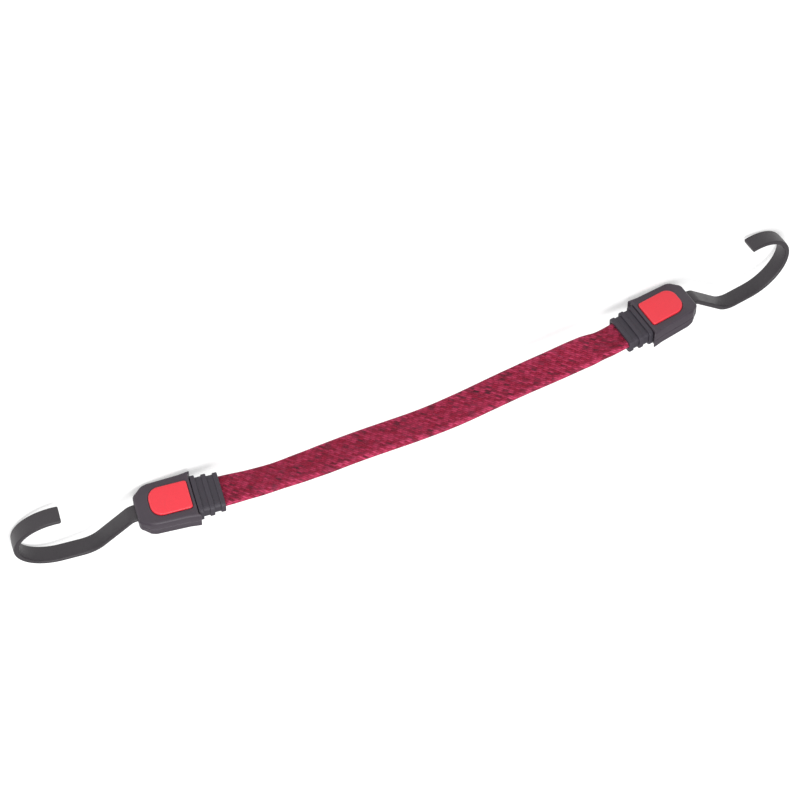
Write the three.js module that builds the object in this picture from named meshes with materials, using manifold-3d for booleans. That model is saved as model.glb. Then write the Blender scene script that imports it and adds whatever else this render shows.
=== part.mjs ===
// Flat bungee cord: a woven elastic strap between two plastic housings, each holding a flat-bar J-hook.
// It lies on its side, as it does on a table: the strap stands on edge, the hooks lie along the table and
// the red caps face -Y. Millimetres, +Z up. Origin: centre of the footprint of the two ends, on the table.

import * as THREE from 'three';
import { mergeVertices } from 'three/addons/utils/BufferGeometryUtils.js';
import Module from 'manifold-3d';

const wasm = await Module();
wasm.setup();

// Driving dimensions. In an end's own frame +X points out along the pull, -Y is the face with the cap
// and Z runs across the width; X is measured from the nose, where the hook comes out.
const clearance = 0.3;
const partingGap = 0.3;

// How finely curves are cut into facets, and how far a cutting solid runs past what it cuts.
const cornerSegments = 2;
const outlineSegments = 5;
const rimSegments = 2;
const roundSides = 16;
const curveDivisions = 800;
const overcut = 1;

const strapWidth = 17.6;
const strapThickness = 4.4;
const sheathWall = 0.7;
const coreCount = 5;
const coreSides = 8;
const strapSteps = 30;
const edgeRoundRatio = 0.98;

const hookWidth = 9.2;
const hookThickness = 3;
const hookEdgeRound = 0.8;
const noseStraight = 0.4;
const noseBendRadius = 5;
const shankAngle = 47.5;
const hookDrop = 24;
const lowerBendRadius = 15;
const lowerRun = 10.5;
const bowlRadius = 22.5;
const bowlSweep = 188;
const bowlFacets = 22;
const bendFacets = 5;

const bodyLength = 31;
const neckLength = 15;
const shellWall = 1.5;
const shellFloor = 1.4;
const shellEdgeRound = 1.4;
const endWall = 2.2;
const barbReach = 0.8;
const barbSweep = 1.2;
const barbFlare = 5;
const noseWidth = 16.8;
const noseThickness = 8.4;
const noseSlope = 7.5;
const noseCorner = 2;
const cornerRise = 0.8;
const shoulderRound = 2.5;
const flankTaper = 0.6;

const sleeveSideWall = 1.25;
const sleeveFaceWall = 2.4;
const throatFaceWall = 0.9;
const flangeLip = 0.7;
const flangeThickness = 1.5;
const ribCount = 3;
const ribLength = 2.6;
const ribHeight = 0.55;
const ribGrowth = 0.5;
const sleeveCorner = 2.4;

const ferruleLength = 6;
const ferruleWall = 0.8;
const crimpCount = 2;
const crimpWidth = 0.8;
const crimpDepth = 0.4;
const crimpSpan = 13;

const rivetDiameter = 4;
const rivetHeadDiameter = 6.8;
const rivetHeadHeight = 1;
const rivetSetback = 6.5;
const tailSink = 1.3;
const headCrownRatio = 0.7;
const headRimRatio = 0.5;
const tailCrownRatio = 0.8;

const capLength = 21.5;
const capWidth = 16.2;
const capMargin = 2;
const capRecess = 1.6;
const capProud = 1.1;
const capEdgeRound = 0.7;
const capStrapCorner = 1.4;
const capHookCorner = 6.2;
const legLength = 3.4;
const legThickness = 1.4;
const legInset = 0.1;
const legReach = 4.2;

// The strap's centre line between the two necks, from end a to end b, chosen by hand.
const strapRoute = [
  [117.8, 2.2, 15.05], [108.3, 2.8, 16.1], [98, 3.4, 17.2], [86, 3.9, 17.95],
  [73, 4.3, 18.35], [60, 4.6, 18.55], [47, 4.75, 18.65], [34, 4.85, 19.05],
  [21, 4.85, 19.7], [8, 4.75, 20.35], [-6, 4.6, 20.6], [-20, 4.4, 20.25],
  [-34, 4.15, 19.45], [-48, 3.85, 18.65], [-62, 3.55, 18.05], [-76, 3.25, 17.65],
  [-89, 3, 17.1], [-100, 2.7, 16.95], [-108.3, 2.45, 17], [-117.8, 2.25, 15.95],
].map(([x, y, z]) => new THREE.Vector3(x, y, z));

// How far the strap is turned about its own length on the way from neck a to neck b: the share of the way,
// then degrees, chosen by hand. End b lies rolled against end a, so the list doesn't end at zero.
const strapTurns = [
  [0, 0], [0.07, -9], [0.13, -13], [0.2, -7], [0.25, -3], [0.47, -3], [0.59, 3], [0.72, 6],
  [0.81, 12], [0.87, 18], [0.9, 14], [0.95, -7], [1, -6.5],
];

// Sizes that follow from the ones above, from the strap outwards.
const strapHalfWidth = strapWidth / 2;
const strapHalfThickness = strapThickness / 2;
const coreDiameter = strapThickness - 2 * sheathWall - 2 * clearance;
const corePitch = (strapWidth - strapThickness) / (coreCount - 1);

const channelHalfWidth = strapHalfWidth + clearance;
const channelHalfThickness = strapHalfThickness + clearance;
const mouthHalfWidth = channelHalfWidth + sleeveSideWall;
const mouthHalfThickness = channelHalfThickness + sleeveFaceWall;
const sleeveHalfWidth = mouthHalfWidth + (ribCount - 1) * ribGrowth;
const throatHalfThickness = channelHalfThickness + throatFaceWall;
const throatHalfWidth = mouthHalfWidth - ribHeight;
const flangeHalfWidth = mouthHalfWidth + flangeLip;

const pocketHalfWidth = flangeHalfWidth + clearance;
const ferruleHalfThickness = strapHalfThickness + clearance + ferruleWall;
const pocketHalfThickness = Math.max(throatHalfThickness, ferruleHalfThickness) + clearance;
const bodyHalfWidth = pocketHalfWidth + shellWall;
const bodyHalfThickness = pocketHalfThickness + shellFloor + capRecess;

const pocketStart = -bodyLength + endWall;
const flangeStart = pocketStart + clearance;
const ferruleStart = flangeStart + flangeThickness + clearance;
const strapEnd = ferruleStart + ferruleLength;
const pocketEnd = strapEnd + clearance;
const tongueEnd = pocketEnd + shellWall;
const rivetX = tongueEnd + rivetSetback;
const mouthX = -bodyLength - neckLength;

const capStart = -bodyLength + capMargin;
const recessFloor = -bodyHalfThickness + capRecess;
const rivetSeat = recessFloor + rivetHeadHeight + 2 * clearance;
const tailSeat = bodyHalfThickness - tailSink;
const legZ = capWidth / 2 - legInset - legThickness / 2;
const legX = rivetX - rivetHeadDiameter / 2 - legLength / 2;

// Joining and cutting closed solids.
function toSolid(geometry) {
  const bare = geometry.clone();
  bare.deleteAttribute('normal');
  bare.deleteAttribute('uv');
  const merged = mergeVertices(bare, 1e-4);
  return new wasm.Manifold(new wasm.Mesh({
    numProp: 3,
    vertProperties: new Float32Array(merged.attributes.position.array),
    triVerts: new Uint32Array(merged.index.array),
  }));
}

function toGeometry(solid) {
  const mesh = solid.getMesh();
  const geometry = new THREE.BufferGeometry();
  geometry.setAttribute('position', new THREE.BufferAttribute(mesh.vertProperties, mesh.numProp));
  geometry.setIndex(new THREE.BufferAttribute(mesh.triVerts, 1));
  geometry.computeVertexNormals();
  return geometry;
}

function block(x0, x1, y0, y1, z0, z1) {
  const geometry = new THREE.BoxGeometry(x1 - x0, y1 - y0, z1 - z0);
  geometry.translate((x0 + x1) / 2, (y0 + y1) / 2, (z0 + z1) / 2);
  return toSolid(geometry);
}

// A block centred on the pull line, by its half thickness and half width.
function crossBlock(x0, x1, halfY, halfZ) {
  return block(x0, x1, -halfY, halfY, -halfZ, halfZ);
}

// A round post along Y.
function post(x, radius, y0, y1) {
  const geometry = new THREE.CylinderGeometry(radius, radius, y1 - y0, roundSides);
  geometry.translate(x, (y0 + y1) / 2, 0);
  return toSolid(geometry);
}

// A plan outline in X and Z, given thickness between two Y planes, with rounded rims.
function slab(shape, y0, y1, edgeRound) {
  const geometry = new THREE.ExtrudeGeometry(shape, {
    depth: y1 - y0 - 2 * edgeRound,
    bevelEnabled: edgeRound > 0,
    bevelThickness: edgeRound,
    bevelSize: edgeRound,
    bevelOffset: -edgeRound,
    bevelSegments: rimSegments,
    curveSegments: outlineSegments,
  });
  geometry.translate(0, 0, edgeRound);
  geometry.rotateX(Math.PI / 2);
  geometry.translate(0, y1, 0);
  return toSolid(geometry);
}

// A section drawn in Y and Z, run along X.
const sectionToX = new THREE.Matrix4().makeBasis(
  new THREE.Vector3(0, 1, 0), new THREE.Vector3(0, 0, 1), new THREE.Vector3(1, 0, 0),
);

function run(section, x0, x1, steps = 1) {
  const geometry = new THREE.ExtrudeGeometry(section, {
    depth: x1 - x0, bevelEnabled: false, curveSegments: cornerSegments, steps,
  });
  geometry.applyMatrix4(sectionToX);
  geometry.translate(x0, 0, 0);
  return geometry;
}

// A rounded rectangle in Y and Z, by its half sizes and corner radius.
function roundedSection(halfY, halfZ, radius) {
  const shape = new THREE.Shape();
  shape.absarc(halfY - radius, halfZ - radius, radius, 0, Math.PI / 2);
  shape.absarc(-halfY + radius, halfZ - radius, radius, Math.PI / 2, Math.PI);
  shape.absarc(-halfY + radius, -halfZ + radius, radius, Math.PI, 1.5 * Math.PI);
  shape.absarc(halfY - radius, -halfZ + radius, radius, 1.5 * Math.PI, 2 * Math.PI);
  shape.closePath();
  return shape;
}

function stadium(halfThickness, halfWidth) {
  return roundedSection(halfThickness, halfWidth, halfThickness * edgeRoundRatio);
}

// Finishes. Each mesh gets a material of its own.
const finishes = {
  coatedSteel: { color: 0x1b1a1d, roughness: 0.42, metalness: 0.3 },
  bareSteel: { color: 0x9a9da1, roughness: 0.35, metalness: 1 },
  shellPlastic: { color: 0x2a282e, roughness: 0.55, metalness: 0 },
  sleevePlastic: { color: 0x26252a, roughness: 0.6, metalness: 0 },
  capPlastic: { color: 0xf5414f, roughness: 0.4, metalness: 0 },
  wovenYarn: { color: 0x9c1538, roughness: 0.85, metalness: 0 },
  latex: { color: 0xcbb58e, roughness: 0.7, metalness: 0 },
};

function named(name, geometry, finish) {
  const mesh = new THREE.Mesh(geometry, new THREE.MeshStandardMaterial(finishes[finish]));
  mesh.name = name;
  return mesh;
}

// Hook: the centre line of the bar is walked in straights and bends, then given the bar's thickness.
function hookOutline() {
  let x = tongueEnd;
  let y = 0;
  let heading = 0;
  const left = [];
  const right = [];

  function mark() {
    const sideX = -Math.sin(heading) * hookThickness / 2;
    const sideY = Math.cos(heading) * hookThickness / 2;
    left.push(new THREE.Vector2(x + sideX, y + sideY));
    right.push(new THREE.Vector2(x - sideX, y - sideY));
  }

  function straight(length) {
    x += length * Math.cos(heading);
    y += length * Math.sin(heading);
    mark();
  }

  function bend(radius, degrees, facets) {
    const step = THREE.MathUtils.degToRad(degrees) / facets;
    const chord = 2 * radius * Math.sin(Math.abs(step) / 2);
    for (let i = 0; i < facets; i += 1) {
      heading += step / 2;
      x += chord * Math.cos(heading);
      y += chord * Math.sin(heading);
      heading += step / 2;
      mark();
    }
  }

  const angle = THREE.MathUtils.degToRad(shankAngle);
  const bendDrop = (noseBendRadius + lowerBendRadius) * (1 - Math.cos(angle));
  mark();
  straight(noseStraight - tongueEnd);
  bend(noseBendRadius, shankAngle, bendFacets);
  straight((hookDrop - bendDrop) / Math.sin(angle));
  bend(lowerBendRadius, -shankAngle, bendFacets);
  straight(lowerRun);
  bend(bowlRadius, -bowlSweep, bowlFacets);
  return new THREE.Shape([...right, ...left.reverse()]);
}

function hook() {
  const geometry = new THREE.ExtrudeGeometry(hookOutline(), {
    depth: hookWidth - 2 * hookEdgeRound,
    bevelThickness: hookEdgeRound,
    bevelSize: hookEdgeRound,
    bevelOffset: -hookEdgeRound,
    bevelSegments: rimSegments,
  });
  geometry.translate(0, 0, hookEdgeRound - hookWidth / 2);
  const eye = post(rivetX, rivetDiameter / 2 + clearance, -hookThickness, hookThickness);
  return toGeometry(toSolid(geometry).subtract(eye));
}

// Rivet: domed head under the cap, shank through the tongue's eye, upset tail in the back shell.
function rivet() {
  const headFoot = rivetSeat - clearance;
  const headTop = headFoot - rivetHeadHeight;
  const tailFoot = tailSeat + clearance;
  const tailTop = bodyHalfThickness - clearance;
  const shankRadius = rivetDiameter / 2;
  const headRadius = rivetHeadDiameter / 2;
  const profile = [
    [0, headTop], [headRadius * headCrownRatio, headTop],
    [headRadius, headFoot - rivetHeadHeight * headRimRatio], [headRadius, headFoot],
    [shankRadius, headFoot], [shankRadius, tailFoot], [headRadius, tailFoot],
    [headRadius * tailCrownRatio, tailTop], [0, tailTop],
  ].map(([radius, y]) => new THREE.Vector2(radius, y));
  const geometry = new THREE.LatheGeometry(profile, roundSides);
  geometry.translate(rivetX, 0, 0);
  return toGeometry(toSolid(geometry));
}

// Cap outline in X and Z, grown by an offset for the recess that takes it.
function capOutline(offset) {
  const start = capStart - offset;
  const end = capStart + capLength + offset;
  const half = capWidth / 2 + offset;
  const square = capStrapCorner + offset;
  const round = capHookCorner + offset;
  const shape = new THREE.Shape();
  shape.absarc(end - round, half - round, round, 0, Math.PI / 2);
  shape.absarc(start + square, half - square, square, Math.PI / 2, Math.PI);
  shape.absarc(start + square, -half + square, square, Math.PI, 1.5 * Math.PI);
  shape.absarc(end - round, -half + round, round, 1.5 * Math.PI, 2 * Math.PI);
  shape.closePath();
  return shape;
}

// The two legs under the cap, or the slots that take them when grown by an offset.
function capLegs(y0, y1, offset) {
  const halfLength = legLength / 2 + offset;
  const halfThickness = legThickness / 2 + offset;
  const legs = [-1, 1].map((side) => block(
    legX - halfLength, legX + halfLength, y0, y1,
    side * legZ - halfThickness, side * legZ + halfThickness,
  ));
  return legs[0].add(legs[1]);
}

function lockCap() {
  const underside = recessFloor - clearance;
  const plate = slab(capOutline(0), -bodyHalfThickness - capProud, underside, capEdgeRound);
  const legs = capLegs(underside - capEdgeRound, legReach, 0);
  return toGeometry(plate.add(legs));
}

// Housing: plan outline with a blunt nose, flanks that widen and swept barbs at the strap end.
function bodyOutline() {
  const noseHalf = noseWidth / 2;
  const tipX = -bodyLength - barbSweep;
  const tipZ = bodyHalfWidth + barbReach;
  const shoulder = bodyHalfWidth - flankTaper;
  const roundStart = -noseSlope + shoulderRound;
  const roundEnd = -noseSlope - shoulderRound;
  const shape = new THREE.Shape();
  shape.moveTo(0, -noseHalf + noseCorner);
  shape.lineTo(0, noseHalf - noseCorner);
  shape.quadraticCurveTo(0, noseHalf, -noseCorner, noseHalf + cornerRise);
  shape.lineTo(roundStart, shoulder - cornerRise);
  shape.quadraticCurveTo(-noseSlope, shoulder, roundEnd, shoulder);
  shape.lineTo(-bodyLength + barbFlare, bodyHalfWidth);
  shape.lineTo(tipX, tipZ);
  shape.lineTo(-bodyLength, sleeveHalfWidth + clearance);
  shape.lineTo(-bodyLength, -sleeveHalfWidth - clearance);
  shape.lineTo(tipX, -tipZ);
  shape.lineTo(-bodyLength + barbFlare, -bodyHalfWidth);
  shape.lineTo(roundEnd, -shoulder);
  shape.quadraticCurveTo(-noseSlope, -shoulder, roundStart, -shoulder + cornerRise);
  shape.lineTo(-noseCorner, -noseHalf - cornerRise);
  shape.quadraticCurveTo(0, -noseHalf, 0, -noseHalf + noseCorner);
  return shape;
}

// The nose is thinned towards the hook on both faces.
function noseWedge(side) {
  const face = side * bodyHalfThickness;
  const fall = (bodyHalfThickness - noseThickness / 2) / noseSlope;
  const shape = new THREE.Shape([
    new THREE.Vector2(-noseSlope, face),
    new THREE.Vector2(overcut, side * (noseThickness / 2 - fall * overcut)),
    new THREE.Vector2(overcut, face + side * overcut),
    new THREE.Vector2(-noseSlope, face + side * overcut),
  ]);
  const span = 4 * bodyHalfWidth;
  const geometry = new THREE.ExtrudeGeometry(shape, { depth: span, bevelEnabled: false });
  geometry.translate(0, 0, -span / 2);
  return toSolid(geometry);
}

function housing() {
  const slotHalfThickness = hookThickness / 2 + clearance;
  const slotHalfWidth = hookWidth / 2 + clearance;
  const headRadius = rivetHeadDiameter / 2 + clearance;
  const past = 2 * bodyHalfThickness;
  const cuts = [
    noseWedge(-1),
    noseWedge(1),
    slab(capOutline(clearance), -past, recessFloor, 0),
    capLegs(recessFloor - overcut, legReach + clearance, clearance),
    crossBlock(tongueEnd - clearance, past, slotHalfThickness, slotHalfWidth),
    crossBlock(pocketStart, pocketEnd, pocketHalfThickness, pocketHalfWidth),
    crossBlock(-bodyLength - past, pocketStart + overcut, throatHalfThickness + clearance,
      throatHalfWidth + clearance),
    post(rivetX, rivetDiameter / 2 + clearance, -past, past),
    post(rivetX, headRadius, -past, rivetSeat),
    post(rivetX, headRadius, tailSeat, past),
  ];
  const outer = slab(bodyOutline(), -bodyHalfThickness, bodyHalfThickness, shellEdgeRound);
  return cuts.reduce((solid, cut) => solid.subtract(cut), outer);
}

function halfHousing(side) {
  const far = 4 * bodyLength;
  const near = partingGap / 2;
  const half = side < 0 ? block(-far, far, -far, -near, -far, far) : block(-far, far, near, far, -far, far);
  return toGeometry(housing().intersect(half));
}

// Neck sleeve: ribbed boot outside that grows in steps towards the housing, throat through the end wall
// and a flange that the shells trap.
function neckSleeve() {
  const bootEnd = -bodyLength - clearance;
  const ribStep = (bootEnd - mouthX - ribLength) / (ribCount - 1);
  const flangeEnd = flangeStart + flangeThickness;
  let sleeve = crossBlock(bootEnd - overcut, flangeEnd, throatHalfThickness, throatHalfWidth);
  for (let i = 0; i < ribCount; i += 1) {
    const start = mouthX + i * ribStep;
    const halfThickness = mouthHalfThickness + i * ribGrowth;
    const halfWidth = mouthHalfWidth + i * ribGrowth;
    const rib = roundedSection(halfThickness, halfWidth, sleeveCorner);
    const boot = roundedSection(halfThickness - ribHeight, halfWidth - ribHeight, sleeveCorner);
    const next = Math.min(start + ribStep + overcut, bootEnd);
    sleeve = sleeve.add(toSolid(run(rib, start, start + ribLength))).add(toSolid(run(boot, start, next)));
  }
  const flange = crossBlock(flangeStart, flangeEnd, throatHalfThickness, flangeHalfWidth);
  const channel = toSolid(run(stadium(channelHalfThickness, channelHalfWidth), mouthX - overcut, 0));
  return toGeometry(sleeve.add(flange).subtract(channel));
}

// Ferrule: steel band round the strap's end, pressed in by two grooves on each face.
function ferrule() {
  const inner = stadium(strapHalfThickness + clearance, strapHalfWidth + clearance);
  const outer = stadium(ferruleHalfThickness, strapHalfWidth + clearance + ferruleWall);
  const band = toSolid(run(outer, ferruleStart, strapEnd));
  let solid = band.subtract(toSolid(run(inner, ferruleStart - overcut, strapEnd + overcut)));
  const pitch = ferruleLength / (crimpCount + 1);
  for (let i = 1; i <= crimpCount; i += 1) {
    const middle = ferruleStart + i * pitch;
    for (const side of [-1, 1]) {
      const deep = side * (ferruleHalfThickness - crimpDepth);
      const high = side * (ferruleHalfThickness + overcut);
      solid = solid.subtract(block(middle - crimpWidth / 2, middle + crimpWidth / 2,
        Math.min(deep, high), Math.max(deep, high), -crimpSpan / 2, crimpSpan / 2));
    }
  }
  return toGeometry(solid);
}

// Strap: the straight stretch inside each housing carries the route on, so the two line up.
const outwardA = strapRoute[0].clone().sub(strapRoute[1]).normalize();
const outwardB = strapRoute.at(-1).clone().sub(strapRoute.at(-2)).normalize();
const strapInside = strapEnd - mouthX;
const strapCurve = new THREE.CatmullRomCurve3([
  strapRoute[0].clone().addScaledVector(outwardA, strapInside),
  ...strapRoute,
  strapRoute.at(-1).clone().addScaledVector(outwardB, strapInside),
]);
strapCurve.arcLengthDivisions = curveDivisions;
const strapLength = strapCurve.getLength();
const upright = new THREE.Vector3(0, 0, 1);

// The strap's turn at a share of its whole length, eased from each listed place to the next.
function twistAt(share) {
  const inside = strapInside / strapLength;
  const free = THREE.MathUtils.clamp((share - inside) / (1 - 2 * inside), 0, 1);
  const next = Math.max(1, strapTurns.findIndex(([place]) => place >= free));
  const [fromPlace, fromTurn] = strapTurns[next - 1];
  const [toPlace, toTurn] = strapTurns[next];
  const eased = THREE.MathUtils.smoothstep(free, fromPlace, toPlace);
  return THREE.MathUtils.degToRad(THREE.MathUtils.lerp(fromTurn, toTurn, eased));
}

// Lays a straight run, drawn along X from 0 to the strap's length, on the strap's curve.
function layOnCurve(geometry) {
  const position = geometry.attributes.position;
  const point = new THREE.Vector3();
  for (let i = 0; i < position.count; i += 1) {
    const share = THREE.MathUtils.clamp(position.getX(i) / strapLength, 0, 1);
    const along = strapCurve.getTangentAt(share);
    const across = upright.clone().addScaledVector(along, -upright.dot(along)).normalize();
    across.applyAxisAngle(along, twistAt(share));
    const facing = across.clone().cross(along);
    point.copy(strapCurve.getPointAt(share));
    point.addScaledVector(facing, position.getY(i)).addScaledVector(across, position.getZ(i));
    position.setXYZ(i, point.x, point.y, point.z);
  }
  return geometry;
}

function sheath() {
  const section = stadium(strapHalfThickness, strapHalfWidth);
  const bore = stadium(strapHalfThickness - sheathWall, strapHalfWidth - sheathWall);
  section.holes.push(new THREE.Path(bore.getPoints(cornerSegments).reverse()));
  return layOnCurve(run(section, 0, strapLength, strapSteps));
}

function core(index) {
  const z = (index - (coreCount - 1) / 2) * corePitch;
  const section = new THREE.Shape();
  for (let i = 0; i < coreSides; i += 1) {
    const angle = 2 * Math.PI * i / coreSides;
    const y = coreDiameter / 2 * Math.cos(angle);
    const offset = coreDiameter / 2 * Math.sin(angle);
    if (i === 0) section.moveTo(y, z + offset);
    else section.lineTo(y, z + offset);
  }
  section.closePath();
  return layOnCurve(run(section, 0, strapLength, strapSteps));
}

// One end: all its pieces in the end's own frame, stood at the strap's mouth along the strap's line.
function endAssembly(letter, mouth, outward, flip, roll) {
  const end = new THREE.Group();
  end.add(
    named(`hook_${letter}`, hook(), 'coatedSteel'),
    named(`hook_rivet_${letter}`, rivet(), 'bareSteel'),
    named(`front_shell_${letter}`, halfHousing(-1), 'shellPlastic'),
    named(`back_shell_${letter}`, halfHousing(1), 'shellPlastic'),
    named(`lock_cap_${letter}`, lockCap(), 'capPlastic'),
    named(`neck_sleeve_${letter}`, neckSleeve(), 'sleevePlastic'),
    named(`strap_ferrule_${letter}`, ferrule(), 'bareSteel'),
  );
  const across = upright.clone().addScaledVector(outward, -upright.dot(outward)).normalize();
  across.multiplyScalar(flip).applyAxisAngle(outward, roll);
  const depth = across.clone().cross(outward);
  end.quaternion.setFromRotationMatrix(new THREE.Matrix4().makeBasis(outward, depth, across));
  end.position.copy(mouth).addScaledVector(outward, -mouthX);
  return end;
}

const ends = new THREE.Group();
ends.add(
  endAssembly('a', strapRoute[0], outwardA, 1, -twistAt(0)),
  endAssembly('b', strapRoute.at(-1), outwardB, -1, twistAt(1)),
);

const strap = new THREE.Group();
strap.add(named('strap_sheath', sheath(), 'wovenYarn'));
for (let i = 0; i < coreCount; i += 1) {
  strap.add(named(`rubber_core_${i + 1}`, core(i), 'latex'));
}

// The whole cord is set down so that the two ends touch the table and their footprint is centred.
const bungee = new THREE.Group();
bungee.add(ends, strap);
const footprint = new THREE.Box3().setFromObject(ends, true);
const middle = footprint.getCenter(new THREE.Vector3());
bungee.position.set(-middle.x, -middle.y, -footprint.min.z);

export default bungee;
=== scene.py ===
"""Flat bungee cord lying on its side: a woven strap between two plastic housings with flat-bar J-hooks."""

import math

import bmesh
import bpy
import numpy as np
from mathutils import Matrix, Vector


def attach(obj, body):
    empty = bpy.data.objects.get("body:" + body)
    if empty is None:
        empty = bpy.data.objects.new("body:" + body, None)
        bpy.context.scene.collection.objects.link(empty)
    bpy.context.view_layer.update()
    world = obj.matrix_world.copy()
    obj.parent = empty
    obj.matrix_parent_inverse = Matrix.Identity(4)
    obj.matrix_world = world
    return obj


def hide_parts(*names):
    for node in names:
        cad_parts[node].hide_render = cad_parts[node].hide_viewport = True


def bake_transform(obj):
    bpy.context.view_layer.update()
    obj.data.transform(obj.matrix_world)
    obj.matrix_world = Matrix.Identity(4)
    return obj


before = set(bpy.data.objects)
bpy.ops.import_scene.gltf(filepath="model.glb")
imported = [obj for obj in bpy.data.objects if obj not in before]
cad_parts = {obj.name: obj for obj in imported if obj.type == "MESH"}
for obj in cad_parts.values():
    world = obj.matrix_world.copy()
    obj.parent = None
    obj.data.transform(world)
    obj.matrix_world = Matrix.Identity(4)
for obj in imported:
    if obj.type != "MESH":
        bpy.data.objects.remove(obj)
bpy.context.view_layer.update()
bpy.context.scene.view_settings.view_transform = "Standard"


# Strap. A flat elastic strap: five rubber strands side by side in a woven sleeve of crimson yarn with black
# tracer yarns. The sleeve is woven tight over the strands, so they show through as low ridges along it.
# Each end runs through the neck into the housing, where a steel band is crimped on it.
mm = 0.001
strap_width, strap_thickness = 17.6, 4.4
face_half_width = (strap_width - strap_thickness) / 2
strand_count = 5
ridge_depth, ridge_sharpness = 0.38, 0.7
strap_inside = 25.3
ring_step = 1.0
neck_bend_start, neck_bend_end = 2.0, 26.0

# The route runs from neck a to neck b, in millimetres. set_down moves it to lie on the table.
set_down = Vector((0.04, -0.3, 1.7))
strap_route = [Vector(point) + set_down for point in (
    (117.8, 2.2, 15.05), (108.3, 2.8, 16.1), (98, 3.4, 17.2), (86, 3.9, 17.95),
    (73, 4.3, 18.35), (60, 4.6, 18.55), (47, 4.75, 18.65), (34, 4.85, 19.05),
    (21, 4.85, 19.7), (8, 4.75, 20.35), (-6, 4.6, 20.6), (-20, 4.4, 20.25),
    (-34, 4.15, 19.45), (-48, 3.85, 18.65), (-62, 3.55, 18.05), (-76, 3.25, 17.65),
    (-89, 3, 17.1), (-100, 2.7, 16.95), (-108.3, 2.45, 17), (-117.8, 2.25, 15.95),
)]

# At these shares of the way between the necks, the strap is turned this far about its own length.
turn_places = (0, 0.07, 0.13, 0.2, 0.25, 0.47, 0.59, 0.72, 0.81, 0.87, 0.9, 0.95, 1)
turn_degrees = (0, -9, -13, -7, -3, -3, 3, 6, 12, 18, 14, -7, -6.5)
pull_a = (strap_route[0] - strap_route[1]).normalized()
pull_b = (strap_route[-1] - strap_route[-2]).normalized()
whole_route = [
    strap_route[0] + pull_a * strap_inside, *strap_route, strap_route[-1] + pull_b * strap_inside,
]


def smooth_line(points, step, fine_steps=40):
    """Evenly spaced points on a smooth curve through the given ones, and how far along it each is."""
    last = len(points) - 1
    knots = [0.0]
    for here, there in zip(points, points[1:]):
        knots.append(knots[-1] + (there - here).length)
    slopes = []
    for i in range(last + 1):
        low, high = max(i - 1, 0), min(i + 1, last)
        slopes.append((points[high] - points[low]) / (knots[high] - knots[low]))
    fine = []
    for i in range(last):
        span = knots[i + 1] - knots[i]
        for share in np.linspace(0, 1, fine_steps, endpoint=False):
            square, cube = share ** 2, share ** 3
            fine.append(
                points[i] * (2 * cube - 3 * square + 1) + points[i + 1] * (3 * square - 2 * cube)
                + slopes[i] * span * (cube - 2 * square + share) + slopes[i + 1] * span * (cube - square)
            )
    fine.append(points[last])
    line = np.array(fine)
    along = np.concatenate([[0], np.cumsum(np.linalg.norm(np.diff(line, axis=0), axis=1))])
    stops = np.linspace(0, along[-1], round(along[-1] / step) + 1)
    return [Vector([np.interp(stop, along, line[:, axis]) for axis in range(3)]) for stop in stops], stops


strap_line, strap_stops = smooth_line(whole_route, ring_step)
strap_length = strap_stops[-1]


def strap_section(steps_per_ridge=8, edge_steps=12):
    """Points round the strap: how far through it, how far across it, and how far round from its middle."""
    half, reach = strap_thickness / 2, face_half_width
    pitch = 2 * reach / (strand_count - 1)
    face = [
        (half - ridge_depth * (1 - abs(math.cos(math.pi * z / pitch)) ** ridge_sharpness), z)
        for z in np.linspace(-reach, reach, steps_per_ridge * (strand_count - 1) + 1)
    ]
    edge_angles = np.linspace(0, math.pi, edge_steps + 1)[1:-1]
    points = [(y, z, z) for y, z in face]
    for angle in edge_angles:
        away = half * min(angle, math.pi - angle)
        points.append((half * math.cos(angle), reach + half * math.sin(angle), reach + away))
    points += [(-y, z, z) for y, z in reversed(face)]
    for angle in edge_angles:
        away = half * min(angle, math.pi - angle)
        points.append((-half * math.cos(angle), -reach - half * math.sin(angle), -reach - away))
    return points


def loft(name, rings):
    """A closed solid through rings of as many points each, given in millimetres and flat at both ends."""
    count = len(rings[0])
    points = [Vector(point) * mm for ring in rings for point in ring]
    faces = [tuple(reversed(range(count)))]
    for i in range(len(rings) - 1):
        for j in range(count):
            k = (j + 1) % count
            faces.append((i * count + j, i * count + k, (i + 1) * count + k, (i + 1) * count + j))
    faces.append(tuple(range((len(rings) - 1) * count, len(rings) * count)))
    mesh = bpy.data.meshes.new(name)
    mesh.from_pydata(points, [], faces)
    centre = sum(points, Vector()) / len(points)
    bulge = sum((face.center - centre).dot(face.normal) * face.area for face in mesh.polygons)
    if bulge < 0:
        mesh.flip_normals()
    return mesh


def twist_at(stop):
    """How far the strap is turned about its own length, eased from each listed place to the next."""
    free = min(max((stop - strap_inside) / (strap_length - 2 * strap_inside), 0), 1)
    step = min(int(np.searchsorted(turn_places, free, side="right")), len(turn_places) - 1)
    share = (free - turn_places[step - 1]) / (turn_places[step] - turn_places[step - 1])
    eased = share * share * (3 - 2 * share)
    return math.radians(turn_degrees[step - 1] + (turn_degrees[step] - turn_degrees[step - 1]) * eased)


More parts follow.
